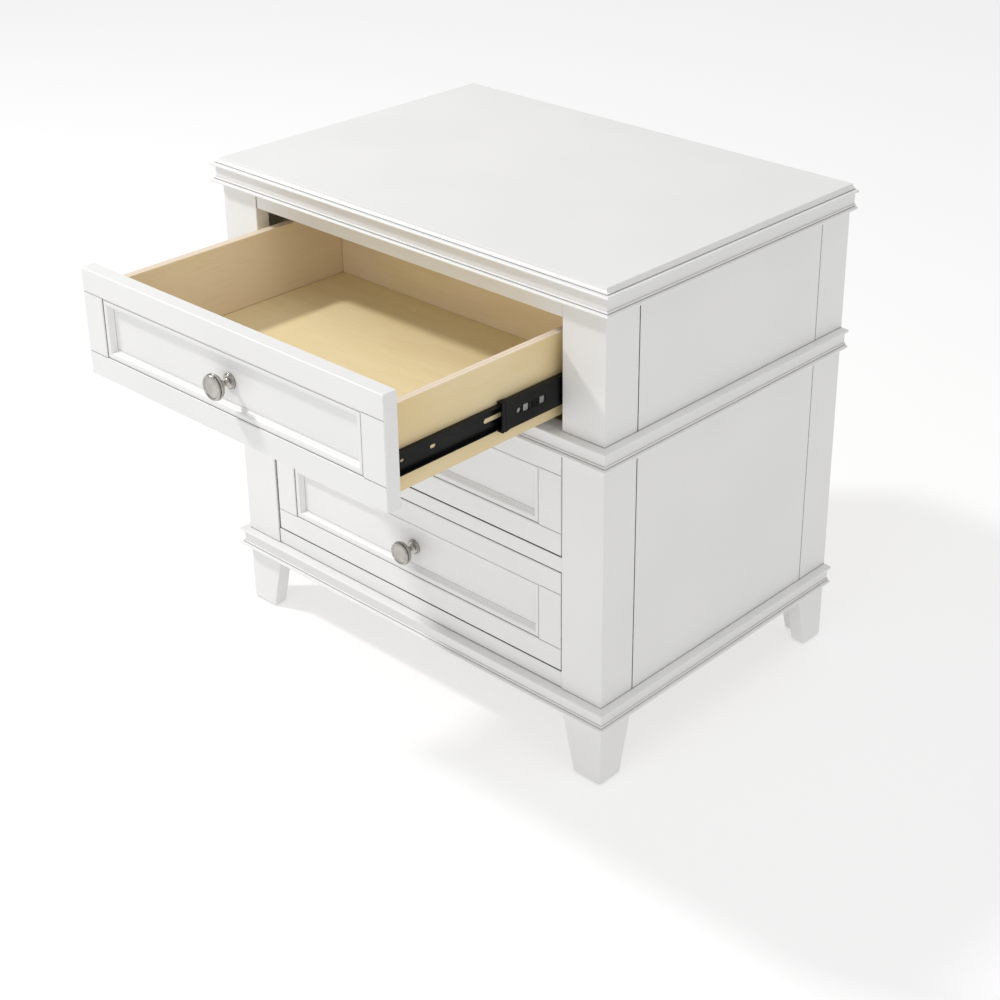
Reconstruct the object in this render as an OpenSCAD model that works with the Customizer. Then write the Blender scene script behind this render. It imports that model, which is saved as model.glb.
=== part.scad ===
// Three-drawer nightstand: a framed cabinet on tapered feet, with inset drawers on ball-bearing slides.
// Millimetres, +Z up. The drawers pull out towards -Y; the origin is on the floor, midway between the
// back of the cabinet and the front of the drawn-out top drawer's knob.

/* [Cabinet] */
// Width over the corner posts
cab_w = 688; // [480:1:900]
// Depth over the corner posts
cab_d = 486; // [470:1:620]
// Height from the floor to the top surface
cab_h = 690; // [686:1:860]
// Thickness of the post and rail boards
board_t = 21; // [16:0.5:26]
// Width of a post on the front and the back of the cabinet
post_w = 67; // [48:1:90]
// Width of a post on the side of the cabinet
post_side_w = 60; // [44:1:90]
// Setback of the rails and drawer fronts behind the faces of the posts
face_recess = 1.5; // [0.5:0.1:4]

/* [Feet] */
// Height of the tapered part of each foot
foot_h = 92; // [50:1:130]
// Width of a foot at the floor, seen from the front
foot_w = 45.5; // [30:0.5:66]
// Width of a foot at the floor, seen from the side
foot_side_w = 39; // [28:0.5:58]
// Thickness of the plastic glide under each foot
glide_t = 2; // [1:0.5:5]
// Diameter of a glide
glide_d = 16; // [10:0.5:20]

/* [Top and mouldings] */
// Thickness of the top board
top_t = 18; // [12:0.5:28]
// Thickness of the part of the top board that lies over the cornice
top_lip_t = 6; // [4:0.5:10]
// How far that lip reaches past the posts
top_lip_out = 6.5; // [3:0.5:9]
// Height of each moulding
mould_h = 28; // [24:0.5:36]
// How far the lips of a moulding stand out from the posts
mould_out = 12.2; // [9:0.1:16]
// How far the flat band of a moulding stands out from the posts
band_out = 6.2; // [4:0.1:8]
// Height of the bottom edge of the base moulding
base_z = 90.5; // [80:0.5:120]

/* [Panels] */
// Thickness of the side panels
side_t = 12; // [9:0.5:18]
// Width of the groove line between a side panel and its posts
groove_w = 1.6; // [0.5:0.1:4]
// Depth of that groove line
groove_depth = 3; // [1:0.5:6]
// Thickness of the back panel
back_t = 6; // [3:0.5:12]
// Thickness of the bottom panel
floor_t = 12; // [6:0.5:18]
// Height of the two rails across the back
back_rail_h = 60; // [30:1:100]

/* [Rails] */
// Height of the bottom rail that shows above the base moulding
bottom_show = 23.5; // [10:0.5:40]
// Height of the rail between the middle and the bottom drawer
middle_rail_h = 21; // [14:0.5:40]
// Height of the waist rail that shows below the waist moulding
waist_show = 1.5; // [1:0.5:20]
// Height of the top rail that shows below the cornice
top_show = 22.5; // [10:0.5:40]

/* [Drawer fronts] */
// Gap above and below a drawer front
front_gap = 1.5; // [1:0.1:3]
// Gap at each side of a drawer front
side_gap = 2.6; // [1:0.1:4]
// Thickness of the front's frame
front_t = 20; // [16:0.5:26]
// Height of the frame's rails
rail_h = 31.7; // [22:0.1:40]
// Width of the frame's stiles
stile_w = 38; // [24:0.5:60]
// Depth of the flat panel behind the frame's face
panel_recess = 8; // [5:0.5:11]
// How far the panel reaches in behind the frame
rebate = 8; // [5:0.5:14]
// Width of the bead around the panel
bead_w = 13; // [8:0.5:22]
// Setback of the bead behind the frame's face
bead_recess = 1.2; // [0.5:0.1:3]
// Chamfer on the arrises of the frame's members
arris = 1; // [0.3:0.1:1.5]

/* [Drawer boxes] */
// Length of a drawer box behind its front
box_l = 400; // [300:1:410]
// Height of a box's bottom edge above the bottom of its front
box_lift = 12.5; // [8:0.5:20]
// Drop from the top of the front to the top edge of its box
box_drop = 23.5; // [16:0.5:50]
// Thickness of the sides, inner front and back of a box
box_t = 12; // [9:0.5:16]
// Thickness of a box's bottom
bottom_t = 6; // [3:0.5:9]
// Height of the bottom above the lower edge of the sides
bottom_lift = 5; // [3:0.5:12]
// Depth of the groove that holds the bottom
bottom_groove = 5; // [3:0.5:7]

/* [Slides] */
// Space for a slide between the drawer box and the cabinet
slide_gap = 12.7; // [12.7:0.1:14]
// Height of the member that is fixed to the cabinet
slide_h = 45; // [40:0.5:50]
// Height of the middle member
middle_h = 37; // [33:0.5:38]
// Height of the member that is fixed to the drawer
inner_h = 29.6; // [24:0.1:30]
// Sheet thickness of the slide members
sheet_t = 1.2; // [0.8:0.1:1.6]
// Length of the cabinet member
slide_l = 406; // [306:1:412]
// Length of the middle member
middle_l = 384; // [280:1:390]
// Height of the slides' centre line above the bottom of a drawer front
slide_lift = 50.5; // [40:0.5:80]
// Thickness of the battens that carry the slides
batten_t = 20; // [12:0.5:26]
// Height of the battens
batten_h = 50; // [46:0.5:70]

/* [Knobs] */
// Diameter of a knob's head
knob_d = 34; // [24:0.5:42]
// Length of a knob from the panel to its front
knob_l = 28.5; // [20:0.5:40]
// Diameter of the round foot of a knob
knob_foot_d = 21; // [14:0.5:28]

/* [Drawer positions] */
// How far the top drawer is drawn out
top_open = 283; // [0:1:400]

/* [Hidden] */
$fn = 48;
eps = 1;

paint = [0.94, 0.93, 0.93];
birch = [0.86, 0.76, 0.58];
black = [0.1, 0.1, 0.11];
nickel = [0.7, 0.68, 0.65];
zinc = [0.62, 0.63, 0.65];

open_w = cab_w - 2 * post_w;
frame_top = cab_h - top_t;
cornice_z = cab_h - top_lip_t - mould_h;
mid_y = (cab_d + face_recess + panel_recess - knob_l - top_open) / 2;

// The stack of drawer fronts and rails, counted up from the floor.
// The three drawer fronts share what the mouldings, the rails and the gaps leave of the height
rails_h = bottom_show + middle_rail_h + waist_show + top_show;
front_h = (cornice_z - base_z - 2 * mould_h - rails_h - 6 * front_gap) / 3;
box_h = front_h - box_lift - box_drop;
bottom_front_z = base_z + mould_h + bottom_show + front_gap;
middle_rail_z = bottom_front_z + front_h + front_gap;
middle_front_z = middle_rail_z + middle_rail_h + front_gap;
waist_rail_z = middle_front_z + front_h + front_gap;
waist_z = waist_rail_z + waist_show;
waist_rail_top = waist_z + mould_h;
top_front_z = waist_rail_top + front_gap;
top_rail_z = top_front_z + front_h + front_gap;

// The inside of the cabinet, from front to back
front_back_y = face_recess + front_t;
back_y = cab_d - board_t - back_t;
side_inner = cab_w / 2 - side_t;
fit = 0.2;

// The drawer fronts and boxes
front_w = open_w - 2 * side_gap;
bay_w = front_w - 2 * stile_w;
bay_h = front_h - 2 * rail_h;
panel_y = face_recess + panel_recess;
panel_t = front_t - panel_recess;
box_w = open_w - 2 * slide_gap;
hole_r = 2.2;

// The slides, measured inwards from the batten
slide_y = front_back_y + 3.5;
middle_y = slide_y + 16.5;
channel_w = 9;
middle_in = 3.2;
middle_reach = 8;
inner_reach = 7;
inner_l = box_l - 5;
screw_ys = [35, 163, 387];
screw_r = 1.75;
screw_head_r = 3.4;
screw_depth = 12;
thread_r = 2;
thread_depth = 14;

// Points of an arc about (x, y), from angle a to angle b in n steps
function arc(x, y, r, a, b, n) =
    [for (i = [0:n]) let (t = a + (b - a) * i / n) [x + r * cos(t), y + r * sin(t)]];

// Puts a piece where the cabinet stands in the frame
module place(out = 0) {
    translate([0, -mid_y - out, 0]) children();
}

// Both sides of the cabinet, the right side as drawn
module both_sides() {
    children();
    mirror([1, 0, 0]) children();
}

// Turns an outline drawn as (outwards, up) into a piece running along X, with its back on the XZ plane
module along_x(x0, x1) {
    translate([x0, 0, 0]) rotate([90, 0, 90]) linear_extrude(x1 - x0) mirror([1, 0]) children();
}

// Turns an outline drawn as (outwards, up) into a piece running along Y, outwards being +X
module along_y(y0, y1) {
    translate([0, y1, 0]) rotate([90, 0, 0]) linear_extrude(y1 - y0) children();
}

// Outline of the mouldings: a rounded lip, a flat band and two beads below it
module moulding_outline() {
    lip_r = 1.9;
    bead_r = 1.9;
    small_r = 1.25;
    polygon(concat(
        [[0, 0], [mould_out - bead_r - 1.6, 0]],
        arc(mould_out - bead_r, bead_r + 0.6, bead_r, -90, 90, 8),
        [[band_out + small_r - 0.2, 2 * bead_r + 1.3]],
        arc(band_out + small_r - 0.2, 2 * bead_r + 1.3 + small_r, small_r, -90, 90, 6),
        [[band_out, 2 * (bead_r + small_r) + 1.3],
         [band_out, mould_h - 2 * lip_r - 1.6],
         [band_out + 1, mould_h - 2 * lip_r - 0.8]],
        arc(mould_out - lip_r, mould_h - lip_r - 0.6, lip_r, -90, 80, 8),
        [[0, mould_h]]
    ));
}

// Outline of the top board's edge over the cornice: an ovolo between two small steps
module top_lip_outline() {
    edge_r = top_lip_t - 1.4;
    polygon(concat(
        [[-eps, 0], [top_lip_out, 0], [top_lip_out, 0.8]],
        arc(top_lip_out, 0.8 + edge_r, edge_r, -90, -176, 7),
        [[top_lip_out - edge_r, top_lip_t], [-eps, top_lip_t]]
    ));
}

// The piece of an outline's run along the front, mitred at both ends
module mitred_front(reach) {
    intersection() {
        along_x(-cab_w / 2 - reach, cab_w / 2 + reach) children();
        translate([0, 0, -eps]) linear_extrude(cab_h) polygon([
            [-cab_w / 2, 0], [cab_w / 2, 0],
            [cab_w / 2 + reach, -reach], [-cab_w / 2 - reach, -reach]
        ]);
    }
}

// The piece of an outline's run along the right side, mitred at the front and square at the back
module mitred_side(reach) {
    intersection() {
        translate([cab_w / 2, 0, 0]) along_y(-reach, cab_d) children();
        translate([0, 0, -eps]) linear_extrude(cab_h) polygon([
            [cab_w / 2, 0], [cab_w / 2 + reach, -reach],
            [cab_w / 2 + reach, cab_d], [cab_w / 2, cab_d]
        ]);
    }
}

// The front moulding, with a strip of height strip_h behind it that packs out to the set-back rail
module moulding_front(z, strip_h = mould_h) {
    strip_foot = 1;
    color(paint) place() translate([0, 0, z]) {
        mitred_front(mould_out) moulding_outline();
        translate([-open_w / 2, -eps, strip_foot])
            cube([open_w, eps + face_recess, strip_h - strip_foot]);
    }
}

module moulding_sides(z) {
    color(paint) place() translate([0, 0, z]) both_sides() mitred_side(mould_out) moulding_outline();
}

module cornice_front() moulding_front(cornice_z, frame_top - cornice_z);
module cornice_sides() moulding_sides(cornice_z);
module waist_moulding_front() moulding_front(waist_z);
module waist_moulding_sides() moulding_sides(waist_z);
module base_moulding_front() moulding_front(base_z);
module base_moulding_sides() moulding_sides(base_z);

// The top board: a body between the cornice pieces and a moulded lip above them
module top_panel() {
    lip_z = cab_h - top_lip_t;
    color(paint) place() {
        translate([-cab_w / 2, 0, frame_top]) cube([cab_w, cab_d, top_t]);
        translate([0, 0, lip_z]) {
            mitred_front(top_lip_out) top_lip_outline();
            both_sides() mitred_side(top_lip_out) top_lip_outline();
        }
    }
}

// One post, as the front right one stands: two boards that meet at the corner, tapered at the foot
module corner_post() {
    half = cab_w / 2;
    translate([half, board_t, 0]) rotate([90, 0, 0]) linear_extrude(board_t) polygon([
        [0, glide_t], [0, frame_top], [-post_w, frame_top], [-post_w, foot_h], [-foot_w, glide_t]
    ]);
    translate([half - board_t, 0, 0]) rotate([90, 0, 90]) linear_extrude(board_t) polygon([
        [0, glide_t], [0, frame_top], [post_side_w, frame_top], [post_side_w, foot_h],
        [foot_side_w, glide_t]
    ]);
}

module front_post(side) {
    color(paint) place() mirror([side < 0 ? 1 : 0, 0, 0]) corner_post();
}

module back_post(side) {
    color(paint) place() translate([0, cab_d, 0]) mirror([0, 1, 0])
        mirror([side < 0 ? 1 : 0, 0, 0]) corner_post();
}

module post_front_left() front_post(-1);
module post_front_right() front_post(1);
module post_back_left() back_post(-1);
module post_back_right() back_post(1);

// A side panel, flush with its posts, with a groove line down each edge
module side_panel(side) {
    y0 = post_side_w;
    y1 = cab_d - post_side_w;
    x0 = side_inner;
    x1 = cab_w / 2;
    step = x1 - groove_depth;
    color(paint) place() mirror([side < 0 ? 1 : 0, 0, 0])
        translate([0, 0, base_z + mould_h / 2]) linear_extrude(frame_top - base_z - mould_h / 2)
            polygon([
                [x0, y0], [step, y0], [step, y0 + groove_w], [x1, y0 + groove_w],
                [x1, y1 - groove_w], [step, y1 - groove_w], [step, y1], [x0, y1]
            ]);
}

module side_panel_left() side_panel(-1);
module side_panel_right() side_panel(1);

// The back panel, inside the back posts and between the side boards
module back_panel() {
    w = cab_w - 2 * board_t;
    z0 = base_z + fit;
    color(birch) place() translate([-w / 2, back_y, z0]) cube([w, back_t, frame_top - z0]);
}

// The bottom panel, between the front boards and the back panel, clear of the posts' side boards
module bottom_panel() {
    z0 = base_z + mould_h;
    w = cab_w - 2 * (board_t + fit);
    color(birch) place() translate([-w / 2, board_t, z0]) cube([w, back_y - board_t, floor_t]);
}

// A rail between the front posts, from one height to another
module front_rail(z0, z1) {
    color(paint) place() translate([-open_w / 2, face_recess, z0])
        cube([open_w, board_t - face_recess, z1 - z0]);
}

module top_rail() front_rail(top_rail_z, frame_top);
module waist_rail() front_rail(waist_rail_z, waist_rail_top);
module middle_rail() front_rail(middle_rail_z, middle_rail_z + middle_rail_h);
module bottom_rail() front_rail(base_z + 1, base_z + mould_h + bottom_show);

// The two rails between the back posts, at the top and at the bottom
module back_rails() {
    color(paint) place() for (z = [base_z + fit, frame_top - back_rail_h])
        translate([-open_w / 2, cab_d - board_t, z]) cube([open_w, board_t, back_rail_h]);
}

// Heights of the drawer fronts' bottom edges, from the bottom drawer up
front_zs = [bottom_front_z, middle_front_z, top_front_z];

// The battens that carry the slides, drilled for their screws
module slide_battens() {
    color(birch) place() both_sides() for (z = front_zs)
        translate([open_w / 2, board_t, z + slide_lift]) difference() {
            translate([0, 0, -batten_h / 2]) cube([batten_t, back_y - board_t, batten_h]);
            for (y = screw_ys) translate([-eps, slide_y - board_t + y, 0]) rotate([0, 90, 0])
                cylinder(h = screw_depth + eps, r = screw_r + 0.05);
        }
}

// Triangular blocks that stiffen the corners under the bottom panel
module corner_blocks() {
    leg = 42;
    block_h = base_z + mould_h - foot_h - 1;
    color(birch) place() both_sides() for (back = [0, 1])
        translate([cab_w / 2 - board_t, back * cab_d, foot_h + 1]) mirror([0, back, 0])
            translate([0, board_t + (back ? back_t : 0), 0]) linear_extrude(block_h)
                polygon([[0, 0], [-leg, 0], [0, leg]]);
}

// A round glide under the corner of each foot
module floor_glides() {
    inset = board_t / 2;
    color(black) place() both_sides() for (y = [inset, cab_d - inset])
        translate([cab_w / 2 - inset, y, 0]) cylinder(h = glide_t, d = glide_d);
}

// A channel section along Y, its web on the YZ plane and its flanges towards -X
module channel(h, reach, length) {
    rotate([90, 0, 0]) translate([0, 0, -length]) linear_extrude(length) polygon([
        [0, -h / 2], [-reach, -h / 2], [-reach, -h / 2 + sheet_t], [-sheet_t, -h / 2 + sheet_t],
        [-sheet_t, h / 2 - sheet_t], [-reach, h / 2 - sheet_t], [-reach, h / 2], [0, h / 2]
    ]);
}

// An oval slot along Y through a web
module slot(y, w, h) {
    translate([-sheet_t - eps, y, 0]) {
        translate([0, -(w - h) / 2, -h / 2]) cube([sheet_t + 2 * eps, w - h, h]);
        for (s = [-1, 1]) translate([0, s * (w - h) / 2, 0]) rotate([0, 90, 0])
            cylinder(h = sheet_t + 2 * eps, d = h, $fn = 24);
    }
}

// The slide members fixed to the battens
module cabinet_slides() {
    color(black) place() both_sides() for (z = front_zs)
        translate([open_w / 2, slide_y, z + slide_lift]) difference() {
            channel(slide_h, channel_w, slide_l);
            for (y = screw_ys) translate([-sheet_t - eps, y, 0]) rotate([0, 90, 0])
                cylinder(h = sheet_t + 2 * eps, r = hole_r);
        }
}

// The screws that hold the cabinet members, heads inside the channel
module slide_screws() {
    head_t = 1.6;
    color(zinc) place() both_sides() for (z = front_zs, y = screw_ys)
        translate([open_w / 2 - sheet_t, slide_y + y, z + slide_lift]) rotate([0, 90, 0]) {
            translate([0, 0, -head_t]) cylinder(h = head_t, r = screw_head_r);
            translate([0, 0, -eps / 2]) cylinder(h = sheet_t + screw_depth + eps / 2 - 0.5, r = screw_r);
        }
}

// A row of windows w wide and 10 high through the middle member's web
module windows(ys, w) {
    window_h = 10;
    for (y = ys) translate([-sheet_t - eps, y, -window_h / 2]) cube([sheet_t + 2 * eps, w, window_h]);
}

// A strap around the outside of the middle member, raised by grow
module end_strap(y, l, grow) {
    h = middle_h + 2 * grow;
    translate([grow, y, 0]) rotate([90, 0, 0]) translate([0, 0, -l]) linear_extrude(l) polygon([
        [0, -h / 2], [-middle_reach - grow, -h / 2], [-middle_reach - grow, -h / 2 + grow],
        [-grow, -h / 2 + grow], [-grow, h / 2 - grow], [-middle_reach - grow, h / 2 - grow],
        [-middle_reach - grow, h / 2], [0, h / 2]
    ]);
}

// The middle members, each with a row of windows and a ribbed stop at its front end
module middle_slides(z, out) {
    color(black) place(out / 2) both_sides()
        translate([open_w / 2 - middle_in, middle_y, z + slide_lift]) {
            difference() {
                channel(middle_h, middle_reach, middle_l);
                translate([-sheet_t - eps, 29, 0]) rotate([0, 90, 0]) cylinder(h = sheet_t + 2 * eps, r = 3.5);
                windows([36, 64], 10);
                windows([50:3.5:60.5], 1.5);
                for (y = [150:60:330]) slot(y, 14, 6);
            }
            end_strap(0, 12, 0.5);
            for (y = [1, 6]) end_strap(y, 2, 1);
        }
}

// The members fixed to the drawer's sides, their webs against the wood
module drawer_slides(z, out) {
    color(black) place(out) both_sides()
        translate([box_w / 2, slide_y, z + slide_lift]) mirror([1, 0, 0]) difference() {
            channel(inner_h, inner_reach, inner_l);
            slot(9, 6, 3.5);
            for (y = [56, 260, 350]) slot(y, 9, 5);
            slot(152, 30, 6.5);
        }
}

// A member of the drawer front's frame, chamfered around its face: width, height and place of its corner
module frame_member(x, z, w, h) {
    intersection() {
        translate([0, 0, z - eps]) linear_extrude(h + 2 * eps) polygon([
            [x + arris, 0], [x + w - arris, 0], [x + w, arris],
            [x + w, front_t], [x, front_t], [x, arris]
        ]);
        translate([x - eps, 0, 0]) rotate([90, 0, 90]) linear_extrude(w + 2 * eps) polygon([
            [0, z + arris], [arris, z], [front_t, z], [front_t, z + h], [arris, z + h], [0, z + h - arris]
        ]);
    }
}

// The frame of a drawer front: two rails across, two stiles between them, rebated behind for the panel
module front_frame(z, out) {
    color(paint) place(out) translate([0, face_recess, z]) difference() {
        union() {
            frame_member(-front_w / 2, 0, front_w, rail_h);
            frame_member(-front_w / 2, front_h - rail_h, front_w, rail_h);
            for (x = [-front_w / 2, front_w / 2 - stile_w])
                frame_member(x, rail_h, stile_w, bay_h);
        }
        translate([-bay_w / 2 - rebate, panel_recess, rail_h - rebate])
            cube([bay_w + 2 * rebate, front_t, bay_h + 2 * rebate]);
    }
}

// The flat panel of a drawer front, drilled for the knob's screw
module front_panel(z, out) {
    w = bay_w + 2 * (rebate - fit);
    h = bay_h + 2 * (rebate - fit);
    color(paint) place(out) translate([0, panel_y, z + front_h / 2]) difference() {
        translate([-w / 2, 0, -h / 2]) cube([w, panel_t, h]);
        translate([0, -eps, 0]) rotate([-90, 0, 0]) cylinder(h = panel_t + 2 * eps, r = hole_r);
    }
}

// Outline of the bead around a panel, drawn as (in from the frame, up from the panel)
module bead_outline() {
    rise = panel_recess - bead_recess;
    fillet_r = 2.2;
    round_r = rise - fillet_r;
    polygon(concat(
        [[0, 0], [bead_w, 0], [bead_w, 0.8]],
        arc(bead_w, 0.8 + fillet_r, fillet_r, -90, -170, 5),
        [[bead_w - fillet_r - 0.6, rise - round_r + 0.6]],
        arc(bead_w - fillet_r - round_r - 1.2, rise - round_r, round_r, 20, 90, 6),
        [[2, rise], [2, rise - 0.8], [0, rise - 0.8]]
    ));
}

// One run of the bead, w long on the frame's side, mitred at both ends, up being -Y
module bead_run(w) {
    intersection() {
        translate([-w / 2, 0, 0]) rotate([90, 0, 90]) linear_extrude(w)
            rotate(90) bead_outline();
        translate([0, eps, 0]) rotate([90, 0, 0]) linear_extrude(panel_recess + 2 * eps) polygon([
            [-w / 2, 0], [w / 2, 0], [w / 2 - bead_w, bead_w], [-w / 2 + bead_w, bead_w]
        ]);
    }
}

module panel_bead(z, out) {
    color(paint) place(out) translate([0, panel_y, z + front_h / 2]) for (s = [0, 1]) {
        rotate([0, s * 180, 0]) translate([0, 0, -bay_h / 2]) bead_run(bay_w);
        rotate([0, 90 + s * 180, 0]) translate([0, 0, -bay_w / 2]) bead_run(bay_h);
    }
}

// The groove in the lower edge of a box's boards, w across and l along, at the box's place
module bottom_slot() {
    w = box_w - 2 * box_t + 2 * bottom_groove;
    l = box_l - 2 * box_t + 2 * bottom_groove;
    translate([-w / 2, front_back_y + box_t - bottom_groove, box_lift + bottom_lift])
        cube([w, l, bottom_t + fit]);
}

// The inner front of a drawer box, drilled for the knob's screw
module box_front(z, out) {
    w = box_w - 2 * box_t;
    color(birch) place(out) translate([0, 0, z]) difference() {
        translate([-w / 2, front_back_y, box_lift]) cube([w, box_t, box_h]);
        bottom_slot();
        translate([0, front_back_y - eps, front_h / 2]) rotate([-90, 0, 0])
            cylinder(h = box_t + 2 * eps, r = hole_r);
    }
}

module box_back(z, out) {
    w = box_w - 2 * box_t;
    color(birch) place(out) translate([0, 0, z]) difference() {
        translate([-w / 2, front_back_y + box_l - box_t, box_lift]) cube([w, box_t, box_h]);
        bottom_slot();
    }
}

module box_sides(z, out) {
    color(birch) place(out) translate([0, 0, z]) difference() {
        both_sides() translate([box_w / 2 - box_t, front_back_y, box_lift]) cube([box_t, box_l, box_h]);
        bottom_slot();
    }
}

module box_bottom(z, out) {
    w = box_w - 2 * box_t + 2 * (bottom_groove - fit);
    l = box_l - 2 * box_t + 2 * (bottom_groove - fit);
    color(birch) place(out)
        translate([-w / 2, front_back_y + box_t - bottom_groove + fit, z + box_lift + bottom_lift + fit / 2])
            cube([w, l, bottom_t]);
}

// A turned knob: stepped foot, neck with a ball, flared back, two bands and a rim around the face
module knob(z, out) {
    h = knob_d / 2;
    f = knob_foot_d / 2;
    neck_r = 3.3;
    ball_r = 4.7;
    cove_r = f - 3.4 - neck_r;
    flare = h - 4.4 - 5.4;
    // The profile is drawn for a knob 28.5 long, then stretched
    stretch = knob_l / 28.5;
    profile = concat(
        [[f, 0]],
        arc(f - 1.1, 1.3, 1.1, 0, 90, 4),
        [[f - 1.5, 2.1]],
        arc(f - 2.7, 2.4, 1.1, 10, 90, 4),
        arc(neck_r + cove_r, 3.5 + cove_r, cove_r, 270, 180, 5),
        arc(0, 12.2, ball_r, -44, 44, 8),
        [[neck_r, 15.7], [4.6, 16], [4.6, 16.8]],
        [[5.4, 17.2], [5.4 + 0.25 * flare, 18.2], [5.4 + 0.6 * flare, 18.8], [h - 4.4, 19.1]],
        arc(h - 2.9, 20.3, 1.2, -80, 60, 5),
        [[h - 2.4, 21.6]],
        arc(h - 1.9, 23.6, 1.9, -70, 35, 6),
        [[h - 1.6, 25.1]],
        arc(h - 2.6, 26.9, 1.6, -50, 150, 8),
        [[h - 4.6, 27.3], [h - 5.2, 27.5], [h - 9, 27.9], [0, 28.1]]
    );
    color(nickel) place(out) translate([0, panel_y, z + front_h / 2]) rotate([90, 0, 0])
        rotate_extrude($fn = 64) polygon(concat(
            [[thread_r + 0.05, 0]],
            [for (p = profile) [p.x, p.y * stretch]],
            [[0, thread_depth], [thread_r + 0.05, thread_depth]]
        ));
}

// The screw through the box front and the panel into the knob
module knob_screw(z, out) {
    reach = box_t + panel_t + thread_depth - 2;
    color(zinc) place(out) translate([0, front_back_y + box_t, z + front_h / 2]) rotate([90, 0, 0]) {
        translate([0, 0, -2.2]) cylinder(h = 2.2, r = 4);
        translate([0, 0, -eps / 2]) cylinder(h = reach + eps / 2, r = thread_r);
    }
}

top_panel();
cornice_front();
cornice_sides();
waist_moulding_front();
waist_moulding_sides();
base_moulding_front();
base_moulding_sides();
post_front_left();
post_front_right();
post_back_left();
post_back_right();
side_panel_left();
side_panel_right();
back_panel();
bottom_panel();
top_rail();
waist_rail();
middle_rail();
bottom_rail();
back_rails();
slide_battens();
corner_blocks();
floor_glides();
cabinet_slides();
slide_screws();

front_frame(top_front_z, top_open);  // top_front_frame
front_panel(top_front_z, top_open);  // top_front_panel
panel_bead(top_front_z, top_open);  // top_panel_bead
box_front(top_front_z, top_open);  // top_box_front
box_sides(top_front_z, top_open);  // top_box_sides
box_back(top_front_z, top_open);  // top_box_back
box_bottom(top_front_z, top_open);  // top_box_bottom
knob(top_front_z, top_open);  // top_knob
knob_screw(top_front_z, top_open);  // top_knob_screw
drawer_slides(top_front_z, top_open);  // top_drawer_slides
middle_slides(top_front_z, top_open);  // top_middle_slides

front_frame(middle_front_z, 0);  // middle_front_frame
front_panel(middle_front_z, 0);  // middle_front_panel
panel_bead(middle_front_z, 0);  // middle_panel_bead
box_front(middle_front_z, 0);  // middle_box_front
box_sides(middle_front_z, 0);  // middle_box_sides
box_back(middle_front_z, 0);  // middle_box_back
box_bottom(middle_front_z, 0);  // middle_box_bottom
knob(middle_front_z, 0);  // middle_knob
knob_screw(middle_front_z, 0);  // middle_knob_screw
drawer_slides(middle_front_z, 0);  // middle_drawer_slides
middle_slides(middle_front_z, 0);  // middle_middle_slides

front_frame(bottom_front_z, 0);  // bottom_front_frame
front_panel(bottom_front_z, 0);  // bottom_front_panel
panel_bead(bottom_front_z, 0);  // bottom_panel_bead
box_front(bottom_front_z, 0);  // bottom_box_front
box_sides(bottom_front_z, 0);  // bottom_box_sides
box_back(bottom_front_z, 0);  // bottom_box_back
box_bottom(bottom_front_z, 0);  // bottom_box_bottom
knob(bottom_front_z, 0);  // bottom_knob
knob_screw(bottom_front_z, 0);  // bottom_knob_screw
drawer_slides(bottom_front_z, 0);  // bottom_drawer_slides
middle_slides(bottom_front_z, 0);  // bottom_middle_slides
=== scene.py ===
import math
import bpy
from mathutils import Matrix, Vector


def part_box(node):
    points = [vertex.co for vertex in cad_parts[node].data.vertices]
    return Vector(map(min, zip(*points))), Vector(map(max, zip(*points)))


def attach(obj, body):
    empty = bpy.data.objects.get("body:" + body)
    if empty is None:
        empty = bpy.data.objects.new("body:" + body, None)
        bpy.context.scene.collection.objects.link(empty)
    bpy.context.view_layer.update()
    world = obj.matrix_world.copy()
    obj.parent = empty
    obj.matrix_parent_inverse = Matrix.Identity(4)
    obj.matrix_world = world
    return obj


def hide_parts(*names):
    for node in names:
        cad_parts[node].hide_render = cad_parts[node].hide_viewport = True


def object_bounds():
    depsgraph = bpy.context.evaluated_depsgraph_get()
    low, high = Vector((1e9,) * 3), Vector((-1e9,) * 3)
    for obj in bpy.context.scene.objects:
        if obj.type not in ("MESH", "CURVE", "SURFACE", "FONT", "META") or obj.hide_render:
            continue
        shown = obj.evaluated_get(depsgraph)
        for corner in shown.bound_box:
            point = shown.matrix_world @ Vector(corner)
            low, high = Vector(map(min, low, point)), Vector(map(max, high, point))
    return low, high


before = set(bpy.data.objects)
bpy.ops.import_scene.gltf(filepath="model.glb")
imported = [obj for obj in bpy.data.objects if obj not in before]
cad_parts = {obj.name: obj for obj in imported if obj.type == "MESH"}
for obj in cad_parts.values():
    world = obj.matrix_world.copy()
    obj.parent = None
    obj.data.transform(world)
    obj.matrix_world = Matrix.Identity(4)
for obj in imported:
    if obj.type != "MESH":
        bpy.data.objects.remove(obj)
cad_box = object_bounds()

MM = 0.001
DRAWERS = ("top", "middle", "bottom")
UP = Vector((0, 0, 1))


# ---------------------------------------------------------------- finishes

class Flow:
    """A socket of a finish's node tree that takes part in sums."""

    def __init__(self, finish, socket):
        self.finish = finish
        self.socket = socket

    def _math(self, operation, *values):
        return self.finish.node("ShaderNodeMath", {"operation": operation}, *values)

    def __add__(self, other):
        return self._math("ADD", self, other)

    def __neg__(self):
        return self._math("MULTIPLY", self, -1.0)

    def __mul__(self, other):
        return self._math("MULTIPLY", self, other)

    def __pow__(self, other):
        return self._math("POWER", self, other)

    __radd__ = __add__
    __rmul__ = __mul__

    def smooth(self, low, high):
        """0 below low and 1 above high, eased between them."""
        eased = {"interpolation_type": "SMOOTHSTEP"}
        return self.finish.node("ShaderNodeMapRange", eased, self, low, high)


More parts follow.
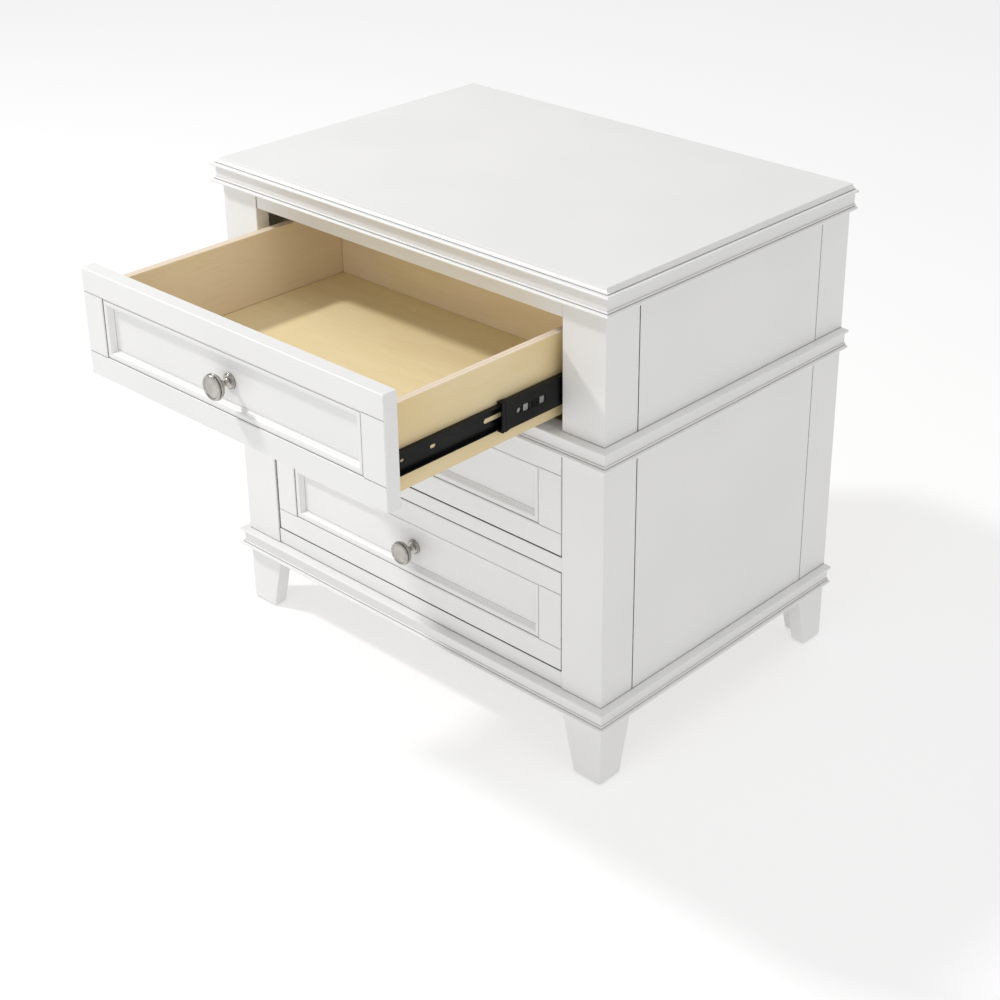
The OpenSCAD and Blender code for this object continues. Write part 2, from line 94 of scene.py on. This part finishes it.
class Finish:
    """One material: a Principled shader, its fixed settings, and the nodes that vary it."""

    def __init__(self, name, **fixed):
        self.material = bpy.data.materials.new(name)
        self.material.use_nodes = True
        self.tree = self.material.node_tree
        self.shader = self.tree.nodes["Principled BSDF"]
        for socket, value in fixed.items():
            self.shader.inputs[socket.replace("_", " ")].default_value = value

    def node(self, kind, settings, *values, out=0, **named):
        """A node of one kind, its settings first, then the values or flows of its sockets."""
        made = self.tree.nodes.new(kind)
        for key, value in settings.items():
            setattr(made, key, value)
        for socket, value in [*enumerate(values), *named.items()]:
            self.put(made.inputs[socket], value)
        return Flow(self, made.outputs[out])

    def put(self, socket, value):
        """Links a flow to a socket, or sets the socket to a fixed number, colour or vector."""
        if isinstance(value, Flow):
            self.tree.links.new(value.socket, socket)
        elif socket.type == "RGBA":
            socket.default_value = (*value, 1)
        else:
            socket.default_value = value

    def give(self, socket, value):
        self.put(self.shader.inputs[socket], value)

    def place(self, scale=(1, 1, 1), shift=(0, 0, 0)):
        """Object coordinates less shift, times scale along each axis."""
        at = self.node("ShaderNodeTexCoord", {}, out="Object")
        at = self.node("ShaderNodeVectorMath", {"operation": "SUBTRACT"}, at, shift)
        return self.node("ShaderNodeVectorMath", {"operation": "MULTIPLY"}, at, scale)

    def noise(self, place, scale, detail=2.0, roughness=0.5, distortion=0.0):
        return self.node("ShaderNodeTexNoise", {}, Vector=place, Scale=scale, Detail=detail,
                         Roughness=roughness, Distortion=distortion, out="Fac")

    def axes(self, place):
        """The x, y and z of a place or direction, each as a flow of its own."""
        split = self.tree.nodes.new("ShaderNodeSeparateXYZ")
        self.put(split.inputs[0], place)
        return [Flow(self, split.outputs[axis]) for axis in range(3)]

    def facing(self, axis):
        """How far the surface faces along one axis, from -1 to 1."""
        normal = self.node("ShaderNodeNewGeometry", {}, out="Normal")
        return self.axes(normal)[axis]

    def blend(self, factor, first, second):
        """The first colour where the factor is 0, the second where it is 1."""
        mix = self.tree.nodes.new("ShaderNodeMix")
        mix.data_type = "RGBA"
        self.put(mix.inputs["Factor"], factor)
        self.put(mix.inputs["A"], first)
        self.put(mix.inputs["B"], second)
        return Flow(self, mix.outputs["Result"])

    def hollows(self, reach, samples=6):
        """1 in the open, falling towards 0 down in joints and corners closer than reach."""
        rays = {"samples": samples}
        return self.node("ShaderNodeAmbientOcclusion", rays, Distance=reach, out="AO")

    def relief(self, height, depth, normal=None):
        """A Bump node whose height of 1 stands depth metres proud."""
        named = {"Height": height, "Distance": depth, "Strength": 1.0}
        if normal is not None:
            named["Normal"] = normal
        return self.node("ShaderNodeBump", {}, out="Normal", **named)


def along(axis, across=1.0, run=0.06):
    """Scales that draw a pattern out along one axis, as grain runs in a board."""
    return tuple(run if side == axis else across for side in range(3))


def satin_paint(name, grain_axis, joint_tone=0.08, joint_core=0.36, joint_spread=0.97):
    """White sprayed lacquer: a trace of the grain, fine orange peel, and a slow drift in tone.

    joint_tone is how dark the painted shade in a joint gets; core and spread say how open it is
    where the dark is full, and where it ends.
    """
    f = Finish(name, Specular_IOR_Level=0.42, Coat_Roughness=0.3)
    cloud = f.noise(f.place(), 6.0, 3.0)
    grain = f.noise(f.place(along(grain_axis)), 260.0, 4.0, 0.6)
    peel = f.noise(f.place(), 620.0, 2.0)
    tone = f.blend(cloud.smooth(0.3, 0.7), (0.815, 0.812, 0.803), (0.835, 0.831, 0.821))
    pores = grain.smooth(0.66, 0.8) * 0.35
    tone = f.blend(pores, tone, (0.775, 0.768, 0.755))
    # Painted shade: the colour goes dark down in the joints and narrow gaps, where shade falls
    joint_shade = (joint_tone, joint_tone * 0.98, joint_tone * 0.96)
    joints = f.hollows(reach=1.8 * MM).smooth(joint_core, joint_spread)
    gaps = f.hollows(reach=5 * MM, samples=4).smooth(0.2, 0.5)
    f.give("Base Color", f.blend(joints * gaps, joint_shade, tone))
    f.give("Roughness", 0.34 + cloud * 0.08 + peel * 0.05)
    f.give("Coat Weight", cloud * 0.1 + 0.05)
    skin = f.relief(peel, 0.012 * MM)
    f.give("Normal", f.relief(grain, 0.03 * MM, skin))
    return f.material


PLY_LIGHT, PLY_DARK = (0.86, 0.72, 0.56), (0.722, 0.605, 0.47)
PLY_PAIR = 4.8 * MM    # one light and one dark ply
WAVE_RUN = 0.3125      # about the length of one wave of a wave pattern, at a scale of 1
RAW_UNDERSIDE = (0.60, 0.565, 0.51)


def shaded(colour, share):
    """A colour with all of its parts multiplied by one share."""
    return tuple(part * share for part in colour)


def birch(name, grain_axis, light, dark, edge_axis=None, flush=0.75, outer_shade=None):
    """Pale lacquered birch: soft flame, fine fibre and flecks, with plies along its sawn edges.

    flush is how far the wood's pinker patches show, and edge_axis is the one the plies stack along.
    """
    f = Finish(name, Specular_IOR_Level=0.4)
    flame = f.noise(f.place(along(grain_axis, run=0.16)), 16.0, 3.0, 0.55, 1.6)
    fibre = f.noise(f.place(along(grain_axis, run=0.03)), 420.0, 3.0, 0.6)
    fleck = f.noise(f.place(along(grain_axis, run=0.2)), 900.0, 2.0, 0.7)
    cloud = f.noise(f.place(), 7.0, 2.0)
    colour = f.blend(flame.smooth(0.3, 0.75), light, dark)
    blush = (light[0] * 1.01, light[1] * 0.985, light[2] * 1.13)
    colour = f.blend(cloud.smooth(0.35, 0.65) * flush, colour, blush)
    colour = f.blend(fibre.smooth(0.52, 0.75) * 0.3, colour, shaded(dark, 0.8))
    colour = f.blend(fleck.smooth(0.68, 0.8) * 0.4, colour, shaded(dark, 0.62))
    height = fibre * 0.6 + fleck * 0.4
    if edge_axis is not None:
        bands = {"wave_type": "BANDS", "bands_direction": "XYZ"[edge_axis]}
        plies = f.node("ShaderNodeTexWave", bands, Vector=f.place(), Scale=WAVE_RUN / PLY_PAIR,
                       Distortion=1.5, Detail=2.0, out="Fac")
        sawn = f.facing(2).smooth(0.7, 0.9)
        ply = f.blend(plies.smooth(0.35, 0.65), PLY_LIGHT, PLY_DARK)
        colour = f.blend(sawn, colour, ply)
        height = height + sawn * fleck * 0.8
    if outer_shade is not None:
        # Painted shade: the outer faces go darker and browner, in patches
        outward = (f.facing(0) * f.axes(f.place())[0]).smooth(0.05, 0.2)
        colour = f.blend(outward * (cloud.smooth(0.3, 0.7) * 0.4 + 0.28), colour, outer_shade)
    # Undersides are left raw, and are greyer
    colour = f.blend((-f.facing(2)).smooth(0.5, 0.9), colour, RAW_UNDERSIDE)
    # Painted shade: the wood goes darker down in its corners and joints
    corners = f.hollows(reach=3 * MM, samples=4).smooth(0.1, 0.5)
    f.give("Base Color", f.blend(corners, shaded(dark, 0.6), colour))
    f.give("Roughness", 0.42 + flame * 0.12 + fibre * 0.08)
    f.give("Normal", f.relief(height, 0.05 * MM))
    return f.material


def black_steel():
    """Black electro-coated sheet steel with faint rolling marks and a dusting of grease."""
    f = Finish("black_coated_steel", Specular_IOR_Level=0.16)
    rolled = f.noise(f.place(along(1, run=0.02)), 500.0, 2.0)
    smear = f.noise(f.place(along(1, run=0.3)), 40.0, 4.0, 0.6)
    clean, greasy = (0.004, 0.004, 0.0042), (0.011, 0.0105, 0.0095)
    f.give("Base Color", f.blend(smear.smooth(0.45, 0.75), clean, greasy))
    f.give("Roughness", 0.2 + smear * 0.2 + rolled * 0.05)
    f.give("Normal", f.relief(rolled, 0.02 * MM))
    return f.material


def zinc(name, dull, bright, gloss):
    """Zinc plating with its cloudy crystals; a lower gloss value is shinier."""
    f = Finish(name, Metallic=1.0)
    spangle = f.noise(f.place(), 320.0, 3.0, 0.6)
    f.give("Base Color", f.blend(spangle.smooth(0.35, 0.7), dull, bright))
    f.give("Roughness", gloss + spangle * 0.2)
    f.give("Normal", f.relief(spangle, 0.02 * MM))
    return f.material


def brushed_nickel(name, centre):
    """Satin nickel turned on a lathe: fine rings about the knob's own axis."""
    f = Finish(name, Metallic=1.0)
    x, y, z = f.axes(f.place(shift=centre))
    from_axis = (x * x + z * z) ** 0.5
    rings_per_metre = 2400
    turned = f.node("ShaderNodeCombineXYZ", {}, from_axis * rings_per_metre, y * rings_per_metre, 0.0)
    rings = f.noise(turned, 1.0, 3.0, 0.65)
    film = f.noise(f.place(), 90.0, 3.0)
    metal = f.blend(film.smooth(0.35, 0.7), (0.43, 0.41, 0.383), (0.52, 0.496, 0.465))
    # Painted shade and painted dark reflections: the metal goes near black down in the knob's coves
    coves = f.hollows(reach=3 * MM).smooth(0.35, 0.95)
    cove_shade = (0.07, 0.064, 0.058)
    f.give("Base Color", f.blend(coves, cove_shade, metal))
    f.give("Roughness", 0.16 + rings * 0.14 + film * 0.05)
    f.give("Normal", f.relief(rings, 0.02 * MM))
    return f.material


def moulded_plastic():
    """Hard black plastic with a fine matt texture."""
    f = Finish("moulded_black_plastic", Specular_IOR_Level=0.45)
    grit = f.noise(f.place(), 1400.0, 2.0)
    f.give("Base Color", f.blend(grit.smooth(0.4, 0.7), (0.02, 0.02, 0.021), (0.035, 0.035, 0.036)))
    f.give("Roughness", 0.5 + grit * 0.2)
    f.give("Normal", f.relief(grit, 0.03 * MM))
    return f.material


POST_PAINT = satin_paint("white_paint_upright", 2)
# The rails and front frames get the darkest painted shade in their joints
RAIL_PAINT = satin_paint("white_paint_rails", 0, joint_tone=0.05, joint_core=0.5, joint_spread=0.985)
# The hollows of a moulding get only a light painted shade, as the lacquer fills them
MOULDING = {"joint_tone": 0.42, "joint_spread": 0.68}
FRONT_MOULDING_PAINT = satin_paint("white_paint_front_mouldings", 0, **MOULDING)
SIDE_MOULDING_PAINT = satin_paint("white_paint_side_mouldings", 1, **MOULDING)
# The third colour is the painted shade on the outer faces of the box sides
BOX_LIGHT, BOX_DARK, BOX_OUTSIDE_SHADE = (0.88, 0.76, 0.525), (0.82, 0.675, 0.42), (0.75, 0.565, 0.22)
FLOOR_LIGHT, FLOOR_DARK = (0.88, 0.745, 0.45), (0.83, 0.68, 0.385)
BOX_SIDE = birch("birch_box_side", 1, BOX_LIGHT, BOX_DARK, edge_axis=0, outer_shade=BOX_OUTSIDE_SHADE)
BOX_END = birch("birch_box_end", 0, BOX_LIGHT, BOX_DARK, edge_axis=1)
BOX_FLOOR = birch("birch_box_bottom", 0, FLOOR_LIGHT, FLOOR_DARK, flush=0.2)
BACKING = birch("birch_back_panel", 2, BOX_LIGHT, BOX_DARK)
BATTEN = birch("birch_batten", 1, BOX_LIGHT, BOX_DARK)
BLACK_STEEL = black_steel()
ZINC = zinc("zinc_plated_screw", dull=(0.62, 0.64, 0.66), bright=(0.74, 0.74, 0.73), gloss=0.22)
CAGE_STEEL = zinc("dull_cage_steel", dull=(0.30, 0.30, 0.29), bright=(0.38, 0.38, 0.37), gloss=0.35)
PLASTIC = moulded_plastic()


# ---------------------------------------------------------------- CAD boards and their edges

def ease(node, width, finish, segments=2, limit=35):
    """Gives a CAD node its finish, and rounds its arrises that turn more than limit degrees."""
    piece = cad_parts[node]
    piece.data.materials.clear()
    piece.data.materials.append(finish)
    for face in piece.data.polygons:
        face.use_smooth = True
        face.material_index = 0
    weld = piece.modifiers.new("weld", "WELD")
    weld.merge_threshold = 0.002 * MM
    round_over = piece.modifiers.new("round_over", "BEVEL")
    round_over.width = width
    round_over.segments = segments
    round_over.limit_method = "ANGLE"
    round_over.angle_limit = math.radians(limit)
    round_over.use_clamp_overlap = True
    round_over.miter_outer = "MITER_ARC"
    level = piece.modifiers.new("level", "WEIGHTED_NORMAL")
    level.weight = 100
    level.keep_sharp = True


for side in ("left", "right"):
    for end in ("front", "back"):
        ease(f"post_{end}_{side}", 1.3 * MM, POST_PAINT, 3)
    ease(f"side_panel_{side}", 0.5 * MM, POST_PAINT)
ease("top_panel", 0.5 * MM, FRONT_MOULDING_PAINT)
for run in ("cornice", "waist_moulding", "base_moulding"):
    ease(f"{run}_front", 0.25 * MM, FRONT_MOULDING_PAINT)
    ease(f"{run}_sides", 0.25 * MM, SIDE_MOULDING_PAINT)
for rail in ("top_rail", "waist_rail", "middle_rail", "bottom_rail", "back_rails"):
    ease(rail, 0.7 * MM, RAIL_PAINT)
ease("back_panel", 0.3 * MM, BACKING)
ease("bottom_panel", 0.5 * MM, BOX_FLOOR)
ease("slide_battens", 0.8 * MM, BATTEN)
ease("corner_blocks", 0.8 * MM, BATTEN)
ease("floor_glides", 0.5 * MM, PLASTIC)
ease("cabinet_slides", 0.25 * MM, BLACK_STEEL)
ease("slide_screws", 0.3 * MM, ZINC)

for drawer in DRAWERS:
    ease(f"{drawer}_front_frame", 0.35 * MM, RAIL_PAINT)
    ease(f"{drawer}_front_panel", 0.3 * MM, FRONT_MOULDING_PAINT)
    ease(f"{drawer}_panel_bead", 0.25 * MM, FRONT_MOULDING_PAINT)
    ease(f"{drawer}_box_sides", 0.7 * MM, BOX_SIDE)
    ease(f"{drawer}_box_front", 0.7 * MM, BOX_END)
    ease(f"{drawer}_box_back", 0.7 * MM, BOX_END)
    ease(f"{drawer}_box_bottom", 0.3 * MM, BOX_FLOOR)
    ease(f"{drawer}_drawer_slides", 0.2 * MM, BLACK_STEEL)
    ease(f"{drawer}_middle_slides", 0.2 * MM, BLACK_STEEL)
    low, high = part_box(f"{drawer}_knob")
    knob_finish = brushed_nickel(f"brushed_nickel_{drawer}", (low + high) / 2)
    ease(f"{drawer}_knob", 0.2 * MM, knob_finish, 2, 28)
    ease(f"{drawer}_knob_screw", 0.3 * MM, ZINC)


# ---------------------------------------------------------------- ball cages in the slides

def pick(element_of, test):
    """In edit mode, selects only the faces or edges whose centre passes the test."""
    bpy.ops.mesh.select_all(action="DESELECT")
    bpy.ops.object.mode_set(mode="OBJECT")
    mesh = bpy.context.object.data
    for element in getattr(mesh, element_of):
        middle = sum((mesh.vertices[i].co for i in element.vertices), Vector()) / len(element.vertices)
        element.select = test(middle, element)
    bpy.ops.object.mode_set(mode="EDIT")


def apply_place():
    """Moves the place, turn and scale of the selected objects into their meshes."""
    bpy.ops.object.transform_apply(location=True, rotation=True, scale=True)


def cage_strip(at, length):
    """A steel channel whose legs lie between the flanges of two members, a row of balls in each."""
    wall, half, leg = 0.5 * MM, 16.3 * MM, 5.2 * MM
    ball_r, ball_depth, balls_in_leg = 1.15 * MM, 3 * MM, 10
    bpy.ops.object.select_all(action="DESELECT")
    bpy.ops.mesh.primitive_cube_add(size=1, location=at, scale=(wall, length, 2 * half))
    strip = bpy.context.object
    apply_place()
    bpy.ops.object.mode_set(mode="EDIT")
    for side in (-1, 1):
        bpy.ops.mesh.select_all(action="SELECT")
        bpy.ops.mesh.bisect(plane_co=at + side * (half - wall) * UP, plane_no=UP)
    bpy.ops.mesh.select_mode(type="FACE")
    pick("polygons", lambda c, f: f.normal.x < -0.9 and abs(c.z - at.z) > half - wall)
    bpy.ops.mesh.extrude_region_move(TRANSFORM_OT_translate={"value": (-leg, 0, 0)})
    bpy.ops.mesh.select_all(action="SELECT")
    bpy.ops.mesh.bevel(offset=0.12 * MM, segments=2)
    bpy.ops.object.mode_set(mode="OBJECT")
    bpy.ops.object.shade_smooth_by_angle(angle=math.radians(35))
    balls = []
    for side in (-1, 1):
        for ball in range(balls_in_leg):
            along_leg = length * ((ball + 0.5) / balls_in_leg - 0.5)
            spot = at + Vector((-ball_depth, along_leg, side * (half - wall / 2)))
            bpy.ops.mesh.primitive_uv_sphere_add(
                segments=14, ring_count=8, radius=ball_r, location=spot)
            bpy.ops.object.shade_smooth()
            balls.append(bpy.context.object)
    bpy.ops.object.select_all(action="DESELECT")
    for piece in (*balls, strip):
        piece.select_set(True)
    bpy.context.view_layer.objects.active = strip
    bpy.ops.object.join()
    apply_place()
    strip.data.materials.append(CAGE_STEEL)
    return strip


def copy_of(piece, name, shift=(0, 0, 0), mirrored=False):
    """A copy with its own mesh, moved in its mesh, and turned to the other side if asked."""
    bpy.ops.object.select_all(action="DESELECT")
    twin = piece.copy()
    twin.data = piece.data.copy()
    twin.name = name
    bpy.context.scene.collection.objects.link(twin)
    twin.select_set(True)
    bpy.context.view_layer.objects.active = twin
    twin.location = Vector(shift)
    if mirrored:
        twin.scale.x = -1
    apply_place()
    if mirrored:
        bpy.ops.object.mode_set(mode="EDIT")
        bpy.ops.mesh.select_all(action="SELECT")
        bpy.ops.mesh.normals_make_consistent(inside=False)
        bpy.ops.object.mode_set(mode="OBJECT")
    return twin


def lay_ball_cages():
    """One cage inside each middle member, seen through the member's windows."""
    cage_l, web_to_cage, end_to_cage = 110 * MM, 2.75 * MM, 75 * MM
    first = None
    for drawer in DRAWERS:
        low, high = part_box(f"{drawer}_middle_slides")
        at = Vector((high.x - web_to_cage, low.y + end_to_cage, (low.z + high.z) / 2))
        if first is None:
            first, first_at = cage_strip(at, cage_l), at
            first.name = f"{drawer}_ball_cage_right"
            right = first
        else:
            right = copy_of(first, f"{drawer}_ball_cage_right", at - first_at)
        left = copy_of(right, f"{drawer}_ball_cage_left", mirrored=True)
        for cage in (left, right):
            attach(cage, f"{drawer}_slide_middles")


lay_ball_cages()


# ---------------------------------------------------------------- screws that hold the knobs

def cross_head_screw(head_half, head_t, shank_r, shank_l):
    """A pan-head screw, the top of its head at the origin, with a cross recess sunk in it.

    The head is rounded from a square of half side head_half, and comes out about an eighth
    wider, and so does the shank.
    """
    cells = 5
    cell = 2 * head_half / cells
    arm, arm_taper, recess, hair = 1.6 * cell, 0.62, 0.7 * head_t, 0.001 * MM
    bpy.ops.object.select_all(action="DESELECT")
    bpy.ops.mesh.primitive_grid_add(x_subdivisions=cells, y_subdivisions=cells, size=2 * head_half)
    screw = bpy.context.object
    bpy.ops.object.mode_set(mode="EDIT")
    bpy.ops.mesh.select_mode(type="EDGE")
    pick("edges", lambda c, e: max(abs(c.x), abs(c.y)) > head_half * 0.99)
    bpy.ops.transform.tosphere(value=1)
    bpy.ops.mesh.extrude_region_move(TRANSFORM_OT_translate={"value": (0, 0, -head_t)})
    bpy.ops.mesh.extrude_region_move()
    neck = shank_r / (head_half * 1.02)
    bpy.ops.transform.resize(value=(neck, neck, 1), center_override=(0, 0, 0))
    bpy.ops.mesh.extrude_region_move(TRANSFORM_OT_translate={"value": (0, 0, -shank_l)})
    bpy.ops.mesh.edge_face_add()
    bpy.ops.mesh.select_mode(type="FACE")
    pick("polygons", lambda c, f: abs(c.z) < hair and min(abs(c.x), abs(c.y)) < cell / 2
         and max(abs(c.x), abs(c.y)) < arm)
    bpy.ops.mesh.inset(thickness=0.08 * cell)
    bpy.ops.mesh.extrude_region_move(TRANSFORM_OT_translate={"value": (0, 0, -recess)})
    bpy.ops.transform.resize(value=(arm_taper, arm_taper, 1), center_override=(0, 0, 0))
    bpy.ops.mesh.select_all(action="SELECT")
    bpy.ops.mesh.normals_make_consistent(inside=False)
    bpy.ops.object.mode_set(mode="OBJECT")
    rim = screw.modifiers.new("rim", "BEVEL")
    rim.width = 0.14 * head_half
    rim.segments = 3
    rim.limit_method = "ANGLE"
    rim.angle_limit = math.radians(50)
    rim.use_clamp_overlap = True
    bpy.ops.object.modifier_apply(modifier="rim")
    bpy.ops.object.shade_smooth_by_angle(angle=math.radians(40))
    screw.data.materials.append(ZINC)
    # Laid down, its head towards the back
    screw.rotation_euler.x = -math.pi / 2
    apply_place()
    return screw


def fit_knob_screws():
    """One through each box front into its knob, the head inside the drawer."""
    screw = cross_head_screw(head_half=3.9 * MM, head_t=2.1 * MM, shank_r=1.9 * MM, shank_l=20 * MM)
    for drawer in DRAWERS:
        low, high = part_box(f"{drawer}_knob_screw")
        middle = (low + high) / 2
        fitted = copy_of(screw, f"{drawer}_knob_fixing", (middle.x, high.y, middle.z))
        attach(fitted, f"{drawer}_drawer")
        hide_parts(f"{drawer}_knob_screw")
    bpy.data.objects.remove(screw)


fit_knob_screws()


def pin_back_panel():
    """Small screws round the edge of the back panel, heads on its outer face."""
    head_t, inset, rail_h, gaps = 1.3 * MM, 12 * MM, 60 * MM, 4
    outer_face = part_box("back_panel")[1].y
    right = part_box("post_back_right")[0].x - inset
    left = -right
    rails_low, rails_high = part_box("back_rails")
    bottom, top = rails_low.z + rail_h + inset, rails_high.z - rail_h - inset
    screw = cross_head_screw(head_half=2.6 * MM, head_t=head_t, shank_r=1.2 * MM, shank_l=4 * MM)
    spots = [(left + (right - left) * i / gaps, z) for i in range(gaps + 1) for z in (bottom, top)]
    spots += [(x, bottom + (top - bottom) * i / gaps) for i in range(1, gaps) for x in (left, right)]
    for i, (x, z) in enumerate(spots):
        pin = copy_of(screw, f"back_panel_screw_{i + 1}", (x, outer_face + head_t, z))
        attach(pin, "cabinet")
    bpy.data.objects.remove(screw)


pin_back_panel()


# ---------------------------------------------------------------- camera, floor and light

def stand_camera():
    """A three-quarter view from the right, a little above the top."""
    turned, tipped = math.radians(42.45), math.radians(25.62)
    data = bpy.data.cameras.new("camera")
    data.sensor_width = 36
    data.lens = 67.2
    data.shift_x, data.shift_y = -0.05, -0.10
    data.clip_start, data.clip_end = 0.1, 60
    camera = bpy.data.objects.new("camera", data)
    camera.location = (1.612, -1.573, 1.484)
    camera.rotation_euler = (math.pi / 2 - tipped, 0, turned)
    bpy.context.scene.collection.objects.link(camera)
    bpy.context.scene.camera = camera


def softbox(name, place, aim, size, power):
    """A square lamp that faces what it is aimed at; size in metres, power in watts."""
    data = bpy.data.lights.new(name, "AREA")
    data.shape = "SQUARE"
    data.size = size
    data.energy = power
    lamp = bpy.data.objects.new(name, data)
    lamp.location = place
    lamp.rotation_euler = (Vector(place) - Vector(aim)).to_track_quat("Z", "Y").to_euler()
    bpy.context.scene.collection.objects.link(lamp)


def light_the_room():
    """A bright white room, with one harder lamp high on the left front."""
    world = bpy.data.worlds.new("room")
    world.use_nodes = True
    sky = world.node_tree.nodes["Background"]
    sky.inputs["Color"].default_value = (1, 1, 1, 1)
    # The walls look whiter than the light that they give
    wall_light, wall_look = 0.56, 0.42
    seen = world.node_tree.nodes.new("ShaderNodeLightPath")
    level = world.node_tree.nodes.new("ShaderNodeMath")
    level.operation = "MULTIPLY_ADD"
    world.node_tree.links.new(seen.outputs["Is Camera Ray"], level.inputs[0])
    level.inputs[1].default_value = wall_look
    level.inputs[2].default_value = wall_light
    world.node_tree.links.new(level.outputs[0], sky.inputs["Strength"])
    bpy.context.scene.world = world
    aim = Vector((0, 0.1, 0.5))
    towards_key = Vector((-0.88, -0.52, 1.0)).normalized()
    towards_overhead = Vector((0.3, -0.15, 1.0)).normalized()
    towards_front = Vector((0.25, -1.0, 0.33)).normalized()
    softbox("key", aim + towards_key * 4.0, aim, size=0.34, power=84)
    softbox("overhead", aim + towards_overhead * 3.2, aim, size=1.5, power=10)
    softbox("front_fill", aim + towards_front * 3.4, aim, size=1.4, power=9)
    softbox("right_fill", (3.0, -0.3, 2.4), aim, size=1.4, power=4)


def lay_floor():
    """A pale floor that glows a little, so that the shadows on it stay light."""
    clear = 0.2 * MM
    bpy.ops.mesh.primitive_plane_add(size=40, location=(0, 0, cad_box[0].z - clear))
    floor = bpy.context.object
    floor.name = "studio_floor"
    f = Finish("studio_floor_paint", Roughness=0.9, Specular_IOR_Level=0.1, Emission_Strength=0.54)
    f.shader.inputs["Emission Color"].default_value = (1, 1, 1, 1)
    f.give("Base Color", f.blend(f.noise(f.place(), 2.0), (0.49, 0.49, 0.49), (0.50, 0.50, 0.50)))
    floor.data.materials.append(f.material)


bpy.ops.object.select_all(action="DESELECT")
stand_camera()
light_the_room()
lay_floor()
bpy.context.scene.view_settings.view_transform = "Standard"
